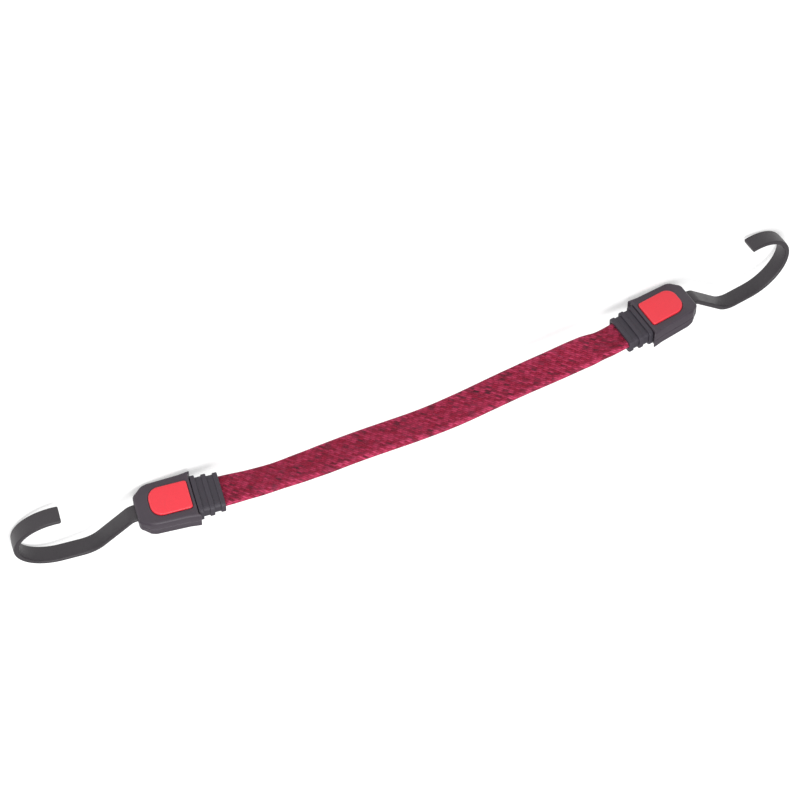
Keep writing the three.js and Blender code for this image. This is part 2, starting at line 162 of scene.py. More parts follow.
def strap_piece(name, first, last, crease=60):
    """The strap between two ring numbers, with its weave laid out in metres in the map called weave."""
    section = strap_section()
    rings, marks = [], []
    for i in range(first, last + 1):
        along = (strap_line[min(i + 1, len(strap_line) - 1)] - strap_line[max(i - 1, 0)]).normalized()
        across = (Vector((0, 0, 1)) - along * along.z).normalized()
        across.rotate(Matrix.Rotation(twist_at(strap_stops[i]), 3, along))
        facing = across.cross(along)
        rings.append([strap_line[i] + facing * y + across * z for y, z, _ in section])
        marks += [(strap_stops[i] * mm, away * mm) for _, _, away in section]
    mesh = loft(name, rings)
    weave = mesh.uv_layers.new(name="weave")
    for loop in mesh.loops:
        weave.data[loop.index].uv = marks[loop.vertex_index]
    piece = bpy.data.objects.new(name, mesh)
    bpy.context.scene.collection.objects.link(piece)
    mesh.shade_smooth()
    mesh.set_sharp_from_angle(angle=math.radians(crease))
    return piece


def add(tree, kind, inputs=None, **options):
    """Adds a node with its options, and feeds its inputs with plain values or with other nodes' outputs."""
    made = tree.nodes.new(kind)
    for name, value in options.items():
        setattr(made, name, value)
    for name, value in (inputs or {}).items():
        if isinstance(value, bpy.types.NodeSocket):
            tree.links.new(value, made.inputs[name])
        else:
            made.inputs[name].default_value = value
    return made


def sum_of(tree, operation, *terms):
    """One Math node's result."""
    return add(tree, "ShaderNodeMath", dict(enumerate(terms)), operation=operation).outputs[0]


def mixed(tree, share, first, second):
    """Two colours mixed by a share."""
    return add(tree, "ShaderNodeMix", {0: share, 6: first, 7: second}, data_type="RGBA").outputs[2]


def ramp(tree, value, low, high, kind="LINEAR"):
    """A value's rise from 0 at low to 1 at high."""
    return add(tree, "ShaderNodeMapRange", {0: value, 1: low, 2: high}, interpolation_type=kind).outputs[0]


def noise(tree, place, **settings):
    """One Noise Texture's value."""
    return add(tree, "ShaderNodeTexNoise", {"Vector": place, **settings}).outputs["Fac"]


def new_group(name, inputs, outputs):
    """An empty shader node group. Its inputs are given as (name, socket type, default)."""
    tree = bpy.data.node_groups.new(name, "ShaderNodeTree")
    for label, kind, default in inputs:
        tree.interface.new_socket(label, in_out="INPUT", socket_type=kind).default_value = default
    for label, kind in outputs:
        tree.interface.new_socket(label, in_out="OUTPUT", socket_type=kind)
    return tree, tree.nodes.new("NodeGroupInput").outputs, tree.nodes.new("NodeGroupOutput").inputs


def woven_stitches():
    """Slanted ribs of stitches across the strap, with black tracer stitches scattered in loose patches."""
    tree, given, result = new_group("Woven stitches", [
        ("Rib Pitch", "NodeSocketFloat", 0.0016),
        ("Rib Slant", "NodeSocketFloat", 1.0),
        ("Stitch Reach", "NodeSocketFloat", 0.0022),
        ("Stitch Shift", "NodeSocketFloat", 0.4),
        ("Face Half Width", "NodeSocketFloat", 0.0066),
        ("Patch Length", "NodeSocketFloat", 0.008),
        ("Yarn", "NodeSocketColor", (0.4, 0.03, 0.07, 1)),
        ("Pale Yarn And Highlight", "NodeSocketColor", (0.5, 0.05, 0.1, 1)),
        ("Tracer", "NodeSocketColor", (0.02, 0.02, 0.02, 1)),
        ("Crevice Shade", "NodeSocketColor", (0.03, 0.002, 0.006, 1)),
    ], [("Colour", "NodeSocketColor"), ("Height", "NodeSocketFloat"), ("Roughness", "NodeSocketFloat")])
    spot = add(tree, "ShaderNodeUVMap", uv_map="weave").outputs[0]
    place = add(tree, "ShaderNodeSeparateXYZ", {0: spot}).outputs
    ahead = sum_of(tree, "SUBTRACT", place["X"], sum_of(tree, "MULTIPLY", place["Y"], given["Rib Slant"]))
    ribs = sum_of(tree, "DIVIDE", ahead, given["Rib Pitch"])
    rib = sum_of(tree, "FLOOR", ribs)
    beside = sum_of(tree, "ABSOLUTE", sum_of(tree, "SUBTRACT", sum_of(tree, "FRACT", ribs), 0.5))
    reaches = sum_of(tree, "DIVIDE", place["Y"], given["Stitch Reach"])
    reaches = sum_of(tree, "MULTIPLY_ADD", rib, given["Stitch Shift"], reaches)
    stitch = sum_of(tree, "FLOOR", reaches)
    along = sum_of(tree, "ABSOLUTE", sum_of(tree, "SUBTRACT", sum_of(tree, "FRACT", reaches), 0.5))

    # Each stitch is a rounded hump along its rib. It falls to nothing half a rib or half a stitch away.
    rib_power, rib_fall = 2.0, -4.0
    end_power, end_fall = 2.5, -5.6
    fullness = 0.6
    rib_hump = sum_of(tree, "MULTIPLY_ADD", sum_of(tree, "POWER", beside, rib_power), rib_fall, 1.0)
    end_hump = sum_of(tree, "MULTIPLY_ADD", sum_of(tree, "POWER", along, end_power), end_fall, 1.0)
    hump = sum_of(tree, "POWER", sum_of(tree, "MULTIPLY", rib_hump, end_hump), fullness)

    # Fine fibres run along each stitch with a slight twist.
    fibres_across, fibre_twist = 6.0, 2.5
    twist = sum_of(tree, "MULTIPLY", reaches, fibre_twist)
    twist = sum_of(tree, "MULTIPLY_ADD", ribs, fibres_across, twist)
    fibre_place = add(tree, "ShaderNodeCombineXYZ", {0: reaches, 1: twist}).outputs[0]
    fibre = ramp(tree, noise(tree, fibre_place, Scale=1.0, Detail=2.0), 0.3, 0.7)

    # Tracer stitches come by chance, and more often where the slow patches run high.
    patch_weight, even_chance = 0.9, 0.5
    stitch_number = add(tree, "ShaderNodeCombineXYZ", {0: stitch, 1: rib}).outputs[0]
    draws = add(tree, "ShaderNodeTexWhiteNoise", {"Vector": stitch_number}, noise_dimensions="2D").outputs
    tone = add(tree, "ShaderNodeSeparateColor", {0: draws["Color"]}).outputs["Green"]
    patch_place = add(tree, "ShaderNodeVectorMath", {
        0: spot, "Scale": sum_of(tree, "DIVIDE", 1.0, given["Patch Length"]),
    }, operation="SCALE").outputs[0]
    patch = noise(tree, patch_place, Scale=1.0, Detail=1.0)
    chance = sum_of(tree, "SUBTRACT", draws["Value"], even_chance)
    likely = sum_of(tree, "MULTIPLY_ADD", patch, patch_weight, chance)
    tracer = sum_of(tree, "MULTIPLY", ramp(tree, likely, 0.6, 1.1), ramp(tree, hump, 0.15, 0.5))

    # Yarns differ a little in tone from stitch to stitch. The rounded edges get a painted highlight, mixed
    # towards the pale colour, and the hollows between stitches get painted shade.
    fibre_tone, stitch_tone, tone_shift = 0.5, 0.7, -0.33
    painted_highlight_tone, painted_highlight_least = 0.75, 0.1
    crevice_shade_share = 0.4
    # Painted highlight: both rounded edges are lightened in colour, standing in for light catching them.
    outward = sum_of(tree, "DIVIDE", sum_of(tree, "ABSOLUTE", place["Y"]), given["Face Half Width"])
    painted_edge_highlight = ramp(tree, outward, 0.92, 1.15, "SMOOTHSTEP")
    painted_edge_highlight = sum_of(tree, "MULTIPLY", painted_edge_highlight, sum_of(tree, "ADD", tone, painted_highlight_least))
    shade = sum_of(tree, "MULTIPLY_ADD", tone, stitch_tone, tone_shift)
    shade = sum_of(tree, "MULTIPLY_ADD", fibre, fibre_tone, shade)
    shade = sum_of(tree, "MULTIPLY_ADD", painted_edge_highlight, painted_highlight_tone, shade)
    # Painted shade: a dark colour is mixed in where each stitch's hump falls away, in the hollows between
    # stitches.
    crevice_shade_mask = sum_of(tree, "MULTIPLY_ADD", hump, -crevice_shade_share, crevice_shade_share)
    colour = mixed(tree, shade, given["Yarn"], given["Pale Yarn And Highlight"])
    colour = mixed(tree, tracer, colour, given["Tracer"])
    tree.links.new(mixed(tree, crevice_shade_mask, colour, given["Crevice Shade"]), result["Colour"])

    fibre_height = 0.25
    fibre_roughness, least_roughness = 0.2, 0.68
    tree.links.new(sum_of(tree, "MULTIPLY_ADD", fibre, fibre_height, hump), result["Height"])
    tree.links.new(
        sum_of(tree, "MULTIPLY_ADD", fibre, fibre_roughness, least_roughness), result["Roughness"],
    )
    return tree


def new_material(name):
    """A new material with its node tree and its shader."""
    material = bpy.data.materials.new(name)
    material.use_nodes = True
    return material, material.node_tree, material.node_tree.nodes["Principled BSDF"]


def set_inputs(node, values):
    """Sets plain values on a node's own sockets."""
    for label, value in values.items():
        node.inputs[label].default_value = value


woven_yarn, tree, shader = new_material("Woven yarn")
stitches = add(tree, "ShaderNodeGroup", node_tree=woven_stitches())
set_inputs(stitches, {
    "Rib Pitch": 1.6 * mm, "Rib Slant": 1.0, "Stitch Reach": 2.2 * mm, "Stitch Shift": 0.4,
    "Face Half Width": face_half_width * mm, "Patch Length": 8.0 * mm,
    # The pale colour serves both for paler stitches and for the painted highlight on the edges.
    "Yarn": (0.315, 0.014, 0.043, 1), "Pale Yarn And Highlight": (0.62, 0.058, 0.145, 1),
    # The darkest colour here is painted shade for the hollows between stitches.
    "Tracer": (0.07, 0.018, 0.027, 1), "Crevice Shade": (0.03, 0.002, 0.006, 1),
})
weave_bump = add(tree, "ShaderNodeBump", {
    "Strength": 0.9, "Distance": 0.4 * mm, "Height": stitches.outputs["Height"],
})
tree.links.new(stitches.outputs["Colour"], shader.inputs["Base Color"])
tree.links.new(stitches.outputs["Roughness"], shader.inputs["Roughness"])
tree.links.new(weave_bump.outputs[0], shader.inputs["Normal"])
set_inputs(shader, {
    "Specular IOR Level": 0.15,
    "Sheen Weight": 0.12, "Sheen Roughness": 0.4, "Sheen Tint": (1.0, 0.55, 0.65, 1),
})

bend_first = round((strap_inside + neck_bend_end) / ring_step)
bend_last = len(strap_line) - 1 - bend_first
strap_at_a = strap_piece("strap_at_neck_a", 0, bend_first)
strap_middle = strap_piece("strap_middle", bend_first, bend_last)
strap_at_b = strap_piece("strap_at_neck_b", bend_last, len(strap_line) - 1)
for piece in (strap_at_a, strap_middle, strap_at_b):
    piece.data.materials.append(woven_yarn)
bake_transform(strap_at_a)
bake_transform(strap_middle)
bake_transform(strap_at_b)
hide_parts("strap_sheath", *[f"rubber_core_{i + 1}" for i in range(strand_count)])


# Neck sleeves. A moulded black sleeve round the strap where it leaves each housing, stepped up to the
# housing by three ribs across it. Inside the housing it has a narrower throat and a flange that the two
# shells trap.
sleeve_mouth, sleeve_end = -46.0, -31.3
mouth_half_thickness, mouth_half_width = 4.9, 10.35
rib_height, rib_length, rib_count, rib_growth = 0.55, 2.6, 3, 0.5
rib_round, rib_draft = 0.35, 0.05
channel_half_thickness, channel_half_width, channel_corner = 2.5, 9.1, 2.45
channel_lip = 0.5
throat_half_thickness, throat_half_width = 3.4, 9.8
flange_half_width, flange_start, flange_end = 11.05, -28.5, -27.0
sleeve_corner, flange_corner = 2.4, 0.6


def end_frame(mouth, pull, flip, roll):
    """The frame of one end: +X out along the pull from the nose, -Y the cap's face, Z across the width."""
    across = (Vector((0, 0, 1)) - pull * pull.z).normalized() * flip
    across.rotate(Matrix.Rotation(roll, 3, pull))
    depth = across.cross(pull)
    place = Matrix((pull, depth, across)).transposed().to_4x4()
    place.translation = (mouth - pull * sleeve_mouth) * mm
    return place


end_frames = {
    "a": end_frame(strap_route[0], pull_a, 1, -twist_at(0)),
    "b": end_frame(strap_route[-1], pull_b, -1, twist_at(strap_length)),
}


def rounded_ring(x, half_y, half_z, radius, corner_steps=6):
    """A ring across the pull: a rectangle with rounded corners."""
    ring = []
    for corner in range(4):
        middle_y = (half_y - radius) * (1 if corner in (0, 3) else -1)
        middle_z = (half_z - radius) * (1 if corner in (0, 1) else -1)
        for step in range(corner_steps + 1):
            angle = (corner + step / corner_steps) * math.pi / 2
            ring.append((x, middle_y + radius * math.cos(angle), middle_z + radius * math.sin(angle)))
    return ring


def sleeve_mesh(round_points=5):
    """Outside from the mouth to the flange, then back through the channel to the mouth."""
    quarter = np.linspace(0, math.pi / 2, round_points)
    pitch = (sleeve_end - sleeve_mouth - rib_length) / (rib_count - 1)
    stops = []
    for i in range(rib_count):
        start, stop = sleeve_mouth + i * pitch, sleeve_mouth + i * pitch + rib_length
        thick, wide = mouth_half_thickness + i * rib_growth, mouth_half_width + i * rib_growth
        for turn in quarter:
            drop = rib_round * (1 - math.sin(turn))
            stops.append((start + rib_round * (1 - math.cos(turn)), thick - drop, wide - drop))
        for turn in reversed(quarter):
            drop = rib_round * (1 - math.sin(turn))
            stops.append((stop - rib_round * (1 - math.cos(turn)), thick - drop, wide - drop))
        if i < rib_count - 1:
            boot = (thick - rib_height, wide - rib_height)
            stops += [(stop + rib_draft, *boot), (start + pitch - rib_draft, *boot)]
    rings = [rounded_ring(x, y, z, sleeve_corner) for x, y, z in stops]
    for x, half_width in (
        (sleeve_end, throat_half_width), (flange_start, throat_half_width),
        (flange_start, flange_half_width), (flange_end, flange_half_width),
    ):
        rings.append(rounded_ring(x, throat_half_thickness, half_width, flange_corner))
    channel = (channel_half_thickness, channel_half_width, channel_corner)
    rings.append(rounded_ring(flange_end, *channel))
    rings.append(rounded_ring(sleeve_mouth + channel_lip, *channel))
    for turn in quarter[1:]:
        flare = channel_lip * (1 - math.cos(turn))
        x = sleeve_mouth + channel_lip * (1 - math.sin(turn))
        rings.append(rounded_ring(x, *[size + flare for size in channel]))
    return loft("neck_sleeve", rings + [rings[0]])


def closed_loop(mesh):
    """Joins the last ring of a loft to its first and takes out the two flat ends between them."""
    touching = 1e-7
    work = bmesh.new()
    work.from_mesh(mesh)
    ends = [face for face in work.faces if len(face.verts) > 4]
    bmesh.ops.delete(work, geom=ends, context="FACES_ONLY")
    bmesh.ops.remove_doubles(work, verts=work.verts, dist=touching)
    bmesh.ops.recalc_face_normals(work, faces=work.faces)
    work.to_mesh(mesh)
    work.free()
    return mesh


def surface_drift():
    """Slow drift of colour and gloss, a fine grain, and edges that are rubbed paler."""
    tree, given, result = new_group("Surface drift", [
        ("Colour", "NodeSocketColor", (0.05, 0.05, 0.05, 1)),
        ("Rubbed Colour", "NodeSocketColor", (0.1, 0.1, 0.1, 1)),
        ("Drift Scale", "NodeSocketFloat", 90.0),
        ("Drift", "NodeSocketFloat", 0.3),
        ("Grain Scale", "NodeSocketFloat", 2600.0),
        ("Roughness", "NodeSocketFloat", 0.5),
        ("Roughness Drift", "NodeSocketFloat", 0.15),
        ("Rub", "NodeSocketFloat", 0.3),
    ], [("Colour", "NodeSocketColor"), ("Roughness", "NodeSocketFloat"), ("Height", "NodeSocketFloat")])
    place = add(tree, "ShaderNodeTexCoord").outputs["Object"]
    slow = noise(tree, place, Scale=given["Drift Scale"], Detail=4.0, Roughness=0.6)
    grain = noise(tree, place, Scale=given["Grain Scale"], Detail=2.0)
    slow_swing = sum_of(tree, "SUBTRACT", slow, 0.5)
    grain_swing = sum_of(tree, "SUBTRACT", grain, 0.5)

    grain_tone, grain_gloss, slow_height, least_rub = 0.25, 0.08, 0.4, 0.3
    edge = add(tree, "ShaderNodeAttribute", attribute_name="rounded_edge").outputs["Fac"]
    rub = sum_of(tree, "MULTIPLY", ramp(tree, edge, 0.4, 1.0), given["Rub"])
    rub = sum_of(tree, "MULTIPLY", rub, sum_of(tree, "ADD", slow, least_rub))
    tone = sum_of(tree, "MULTIPLY", slow_swing, given["Drift"])
    tone = sum_of(tree, "ADD", sum_of(tree, "MULTIPLY_ADD", grain_swing, grain_tone, tone), 1.0)
    toned = add(tree, "ShaderNodeVectorMath", {0: given["Colour"], "Scale": tone}, operation="SCALE")
    gloss = sum_of(tree, "MULTIPLY_ADD", slow_swing, given["Roughness Drift"], given["Roughness"])
    tree.links.new(mixed(tree, rub, toned.outputs[0], given["Rubbed Colour"]), result["Colour"])
    tree.links.new(sum_of(tree, "MULTIPLY_ADD", grain_swing, grain_gloss, gloss), result["Roughness"])
    tree.links.new(sum_of(tree, "MULTIPLY_ADD", slow, slow_height, grain), result["Height"])
    return tree


drift_group = surface_drift()


def drift_material(name, grain_depth, plain=None, **values):
    """A finish from the drift group's values, a grain depth in millimetres and plain shader values."""
    material, tree, shader = new_material(name)
    drift = add(tree, "ShaderNodeGroup", node_tree=drift_group)
    set_inputs(drift, {label.replace("_", " ").title(): value for label, value in values.items()})
    bump = add(tree, "ShaderNodeBump", {
        "Strength": 0.5, "Distance": grain_depth * mm, "Height": drift.outputs["Height"],
    })
    tree.links.new(drift.outputs["Colour"], shader.inputs["Base Color"])
    tree.links.new(drift.outputs["Roughness"], shader.inputs["Roughness"])
    tree.links.new(bump.outputs[0], shader.inputs["Normal"])
    set_inputs(shader, plain or {})
    return material


def mark_rounded_edges(mesh):
    """Stores how sharply the mesh turns outwards at each point: 0 on flat faces, 1 on rounded edges."""
    full_turn = math.radians(15)
    work = bmesh.new()
    work.from_mesh(mesh)
    turns = [max([edge.calc_face_angle_signed(0) for edge in point.link_edges]) for point in work.verts]
    work.free()
    mark = mesh.attributes.new("rounded_edge", "FLOAT", "POINT")
    mark.data.foreach_set("value", np.clip(np.array(turns) / full_turn, 0, 1))


def dress(piece, material, crease):
    """Gives a piece its finish, and smooth shading that keeps flat faces flat and corners crisp."""
    mark_rounded_edges(piece.data)
    piece.data.materials.clear()
    piece.data.materials.append(material)
    piece.data.shade_smooth()
    piece.data.set_sharp_from_angle(angle=math.radians(crease))
    piece.modifiers.new("even_normals", "WEIGHTED_NORMAL").keep_sharp = True


def both_ends(name, mesh, material, crease=35):
    """Puts a copy of a mesh at each end, riding on that end and standing for the node of the same name."""
    for letter, place in end_frames.items():
        piece = bpy.data.objects.new(f"{name}_{letter}.dressed", mesh.copy())
        bpy.context.scene.collection.objects.link(piece)
        piece.matrix_world = place
        dress(piece, material, crease)
        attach(piece, f"end_{letter}")
        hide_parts(f"{name}_{letter}")


sleeve_plastic = drift_material(
    "Sleeve plastic", 0.06, colour=(0.03, 0.0245, 0.036, 1), rubbed_colour=(0.08, 0.07, 0.09, 1),
    grain_scale=2200.0, roughness=0.58, rub=0.2,
)
both_ends("neck_sleeve", closed_loop(sleeve_mesh()), sleeve_plastic)


# Shells. Each housing is two moulded halves of charcoal plastic, held together by the cap's legs and the
# rivet. The outline widens from a blunt nose to swept barbs at the strap end, the nose is thinned on both
# faces, and the front half has a recess for the red cap.
body_length, body_half_width, body_half_thickness = 31.0, 12.85, 6.7
nose_half_width, nose_half_thickness, nose_slope = 8.4, 4.2, 7.5
nose_corner, nose_rise = 2.0, 0.8
shoulder_half_width, shoulder_ease, shoulder_drop = 12.25, 2.5, 0.8
barb_x, barb_z, barb_flare, barb_root = -32.2, 13.65, 5.0, 11.65
barb_lead, barb_lead_drop, barb_back, barb_back_drop = 0.9, 0.12, 0.25, 0.75
rim_round, lip_round = 1.3, 0.15
parting_gap, parting_chamfer = 0.15, 0.25
shell_middle = np.array((-18.0, 0.0))
recess_height = 5.1
fit_gap = 0.3
cap_start, cap_length, cap_half_width = -29.0, 21.5, 8.1
cap_strap_corner, cap_hook_corner = 1.4, 6.2
leg_start, leg_end, leg_reach, leg_middles, leg_half_width = -19.2, -15.8, 4.2, (-7.3, 7.3), 0.7
rivet_x, rivet_radius, rivet_head_radius = -12.4, 2.0, 3.4
head_room, tail_room = -3.5, 5.4
pocket_end, throat_start, throat_end = -20.4, -40.0, -27.8
slot_end, slot_half_thickness, slot_half_width = -19.2, 1.8, 4.9
outside = 10.0


def curve_points(start, control, end, count):
    """Points on a quadratic curve."""
    return [
        tuple((1 - t) ** 2 * a + 2 * t * (1 - t) * b + t * t * c for a, b, c in zip(start, control, end))
        for t in np.linspace(0, 1, count)
    ]


def filled(corners, spacing):
    """A closed outline with points added along its straight stretches."""
    points = []
    for here, there in zip(corners, corners[1:] + corners[:1]):
        count = max(1, math.ceil(math.dist(here, there) / spacing))
        for i in range(count):
            points.append(tuple(a + (b - a) * i / count for a, b in zip(here, there)))
    return np.array(points)


def body_outline(corner_points=8, barb_points=6, spacing=0.6):
    """The housing's outline in X and Z, from the nose round by +Z."""
    nose, shoulder = nose_half_width, shoulder_half_width
    half = [(0, 0)]
    half += curve_points(
        (0, nose - nose_corner), (0, nose), (-nose_corner, nose + nose_rise), corner_points,
    )
    half += curve_points(
        (-nose_slope + shoulder_ease, shoulder - shoulder_drop), (-nose_slope, shoulder),
        (-nose_slope - shoulder_ease, shoulder), corner_points,
    )
    half += [(-body_length + barb_flare, body_half_width)]
    half += curve_points(
        (barb_x + barb_lead, barb_z - barb_lead_drop), (barb_x, barb_z),
        (barb_x + barb_back, barb_z - barb_back_drop), barb_points,
    )
    half += [(-body_length, barb_root), (-body_length, 0)]
    other = [(x, -z) for x, z in reversed(half[1:-1])]
    return filled(half + other, spacing)


def cap_outline(corner_points=14, spacing=0.5):
    """The cap's outline in X and Z: square towards the strap, rounded towards the hook."""
    end = cap_start + cap_length
    points = []
    for centre_x, centre_z, radius, first in (
        (end - cap_hook_corner, cap_half_width - cap_hook_corner, cap_hook_corner, 0),
        (cap_start + cap_strap_corner, cap_half_width - cap_strap_corner, cap_strap_corner, 1),
        (cap_start + cap_strap_corner, -cap_half_width + cap_strap_corner, cap_strap_corner, 2),
        (end - cap_hook_corner, -cap_half_width + cap_hook_corner, cap_hook_corner, 3),
    ):
        for turn in np.linspace(first, first + 1, corner_points) * math.pi / 2:
            points.append((centre_x + radius * math.cos(turn), centre_z + radius * math.sin(turn)))
    return filled(points, spacing)


def depth_inside(outline, points):
    """How far points lie inside a closed outline; below zero outside it."""
    start, step = outline, np.roll(outline, -1, axis=0) - outline
    away = points[:, None] - start[None]
    share = np.clip((away * step).sum(2) / (step ** 2).sum(1), 0, 1)
    near = np.linalg.norm(away - share[..., None] * step, axis=2).min(1)
    above = (start[None, :, 1] > points[:, None, 1]) != ((start + step)[None, :, 1] > points[:, None, 1])
    with np.errstate(divide="ignore", invalid="ignore"):
        crossing = start[:, 0] + (points[:, None, 1] - start[:, 1]) / step[:, 1] * step[:, 0]
    inside = (above & (points[:, None, 0] < crossing)).sum(1) % 2 == 1
    return np.where(inside, near, -near)


def inset_line(outline, rays, inset, farthest=40.0, halvings=32):
    """Where each ray from the shell's middle meets the line that keeps this distance inside the outline."""
    low, high = np.zeros(len(rays)), np.full(len(rays), farthest)
    for _ in range(halvings):
        middle = (low + high) / 2
        within = depth_inside(outline, shell_middle + rays * middle[:, None]) >= inset
        low, high = np.where(within, middle, low), np.where(within, high, middle)
    return shell_middle + rays * low[:, None]


def rays_to(outline):
    """The ways from the shell's middle to the points of an outline."""
    away = outline - shell_middle
    return away / np.linalg.norm(away, axis=1)[:, None]


def face_height(x, ease=0.5):
    """Half thickness of the housing at a place along it, eased where the thinned nose begins."""
    sloped = nose_half_thickness - x * (body_half_thickness - nose_half_thickness) / nose_slope
    share = np.clip(0.5 + (sloped - body_half_thickness) / (2 * ease), 0, 1)
    return sloped + (body_half_thickness - sloped) * share - ease * share * (1 - share)


shell_line = body_outline()
shell_rays = rays_to(shell_line)


def level_ring(line, height, side):
    """A ring over an outline, at a height above the parting plane on the front (-1) or the back (1)."""
    return [(x, side * h, z) for (x, z), h in zip(line, np.broadcast_to(height, len(line)))]


def shell_sides(side, rim_points=7):
    """Rings from the parting line up the side and over the rounded rim, and the line where they end."""
    rings = [level_ring(inset_line(shell_line, shell_rays, parting_chamfer), parting_gap, side)]
    rings.append(level_ring(shell_line, parting_gap + parting_chamfer, side))
    for turn in np.linspace(0, math.pi / 2, rim_points):
        line = inset_line(shell_line, shell_rays, rim_round * (1 - math.cos(turn)))
        rings.append(level_ring(line, face_height(line[:, 0]) - rim_round * (1 - math.sin(turn)), side))
    return rings, line


def front_shell_mesh(lip_points=4):
    """The half with the recess: over the rim, across the face, and over a small lip down to its floor."""
    rings, rim = shell_sides(-1)
    lip = inset_line(cap_outline(), shell_rays, -fit_gap - lip_round)
    for share in (0.25, 0.5, 0.75):
        line = rim + (lip - rim) * share
        rings.append(level_ring(line, face_height(line[:, 0]), -1))
    for turn in np.linspace(0, math.pi / 2, lip_points):
        line = inset_line(cap_outline(), shell_rays, -fit_gap - lip_round * (1 - math.sin(turn)))
        rings.append(level_ring(line, face_height(line[:, 0]) - lip_round * (1 - math.cos(turn)), -1))
    rings.append(level_ring(line, recess_height, -1))
    return loft("front_shell", rings)


def back_shell_mesh(face_rings=24, smallest=0.08):
    """The plain half: over the rim and across the face to its middle."""
    rings, rim = shell_sides(1)
    for share in np.linspace(1, smallest, face_rings)[1:]:
        line = shell_middle + (rim - shell_middle) * share
        rings.append(level_ring(line, face_height(line[:, 0]), 1))
    return loft("back_shell", rings)


def block(low, high):
    """A plain block between two corners, for cutting or joining."""
    ring = ((low[1], low[2]), (low[1], high[2]), (high[1], high[2]), (high[1], low[2]))
    return loft("block", [[(x, y, z) for y, z in ring] for x in (low[0], high[0])])


def turned(name, profile, sides=48):
    """A round piece about the rivet's axis, from radii and the places of their rings along Y."""
    turns = np.linspace(0, 2 * math.pi, sides, endpoint=False)
    return loft(name, [
        [(rivet_x + radius * math.cos(turn), y, radius * math.sin(turn)) for turn in turns]
        for radius, y in profile
    ])


def post(radius, low, high):
    """A plain round post on the rivet's axis, for cutting holes."""
    return turned("post", ((radius, low), (radius, high)))


def clear_slivers(mesh):
    """Takes out what is thinner than two thousandths of a millimetre and splits many-sided faces evenly."""
    sliver = 0.002 * mm
    work = bmesh.new()
    work.from_mesh(mesh)
    bmesh.ops.remove_doubles(work, verts=work.verts, dist=sliver)
    bmesh.ops.dissolve_degenerate(work, edges=work.edges, dist=sliver)
    many_sided = [face for face in work.faces if len(face.verts) > 4]
    bmesh.ops.triangulate(work, faces=many_sided, ngon_method="BEAUTY")
    work.to_mesh(mesh)
    work.free()


def combined(mesh, others, operation):
    """The mesh cut by, or joined with, other closed meshes."""
    piece = bpy.data.objects.new("work", mesh)
    bpy.context.scene.collection.objects.link(piece)
    tools = []
    for other in others:
        tool = bpy.data.objects.new("tool", other)
        bpy.context.scene.collection.objects.link(tool)
        step = piece.modifiers.new("step", "BOOLEAN")
        step.operation, step.solver, step.object = operation, "EXACT", tool
        tools.append(tool)
    bpy.context.view_layer.update()
    result = bpy.data.meshes.new_from_object(piece.evaluated_get(bpy.context.evaluated_depsgraph_get()))
    for made in (piece, *tools):
        bpy.data.objects.remove(made)
    clear_slivers(result)
    return result


def inner_spaces(rivet_end_room):
    """The hollows of a half: strap pocket, neck throat, tongue slot, rivet holes and the legs' slots."""
    room = throat_half_thickness + fit_gap
    flange_room, throat_room = flange_half_width + fit_gap, throat_half_width + fit_gap
    leg_room = leg_half_width + fit_gap
    spaces = [
        block((flange_start - fit_gap, -room, -flange_room), (pocket_end, room, flange_room)),
        block((throat_start, -room, -throat_room), (throat_end, room, throat_room)),
        block(
            (slot_end, -slot_half_thickness, -slot_half_width),
            (outside, slot_half_thickness, slot_half_width),
        ),
        post(rivet_radius + fit_gap, -outside, outside),
        post(rivet_head_radius + fit_gap, *rivet_end_room),
    ]
    for z in leg_middles:
        spaces.append(block(
            (leg_start - fit_gap, -outside, z - leg_room),
            (leg_end + fit_gap, leg_reach + fit_gap, z + leg_room),
        ))
    return spaces


shell_plastic = drift_material(
    "Shell plastic", 0.05, colour=(0.041, 0.029, 0.042, 1), rubbed_colour=(0.1, 0.085, 0.105, 1),
    grain_scale=2600.0, roughness=0.46, rub=0.2,
)
front_shell = combined(front_shell_mesh(), inner_spaces((-outside, head_room)), "DIFFERENCE")
back_shell = combined(back_shell_mesh(), inner_spaces((tail_room, outside)), "DIFFERENCE")
both_ends("front_shell", front_shell, shell_plastic)
both_ends("back_shell", back_shell, shell_plastic)


# Lock caps. A coral-red moulded cap sits in the front shell's recess and stands a little proud of it.
# Two legs under it go through both shells and hold them together.
cap_underside, cap_top, cap_crown, cap_round, cap_chamfer = 5.4, 7.8, 0.18, 0.7, 0.2
leg_overlap = 0.5


def lock_cap_mesh(rim_points=7, face_rings=14, smallest=0.06):
    """The cap from its underside up over the rounded rim to a slight crown, with its two legs."""
    line = cap_outline()
    rays = rays_to(line)
    rings = [level_ring(inset_line(line, rays, cap_chamfer), cap_underside, -1)]
    rings.append(level_ring(line, cap_underside + cap_chamfer, -1))
    for turn in np.linspace(0, math.pi / 2, rim_points):
        rim = inset_line(line, rays, cap_round * (1 - math.cos(turn)))
        rings.append(level_ring(rim, cap_top - cap_round * (1 - math.sin(turn)), -1))
    half_sizes = np.ptp(rim, axis=0) / 2
    centre = rim.min(axis=0) + half_sizes
    for share in np.linspace(1, smallest, face_rings)[1:]:
        line = shell_middle + (rim - shell_middle) * share
        crown = cap_crown * (1 - ((line - centre) / half_sizes) ** 2).prod(axis=1)
        rings.append(level_ring(line, cap_top + crown, -1))
    legs = [
        block(
            (leg_start, -cap_underside - leg_overlap, z - leg_half_width),
            (leg_end, leg_reach, z + leg_half_width),
        )
        for z in leg_middles
    ]
    return combined(loft("lock_cap", rings), legs, "UNION")


cap_plastic = drift_material(
    "Cap plastic", 0.03, colour=(0.9, 0.034, 0.056, 1), rubbed_colour=(0.95, 0.1, 0.12, 1),
    grain_scale=3200.0, roughness=0.36, drift=0.1, rub=0.25,
)
both_ends("lock_cap", lock_cap_mesh(), cap_plastic, crease=50)


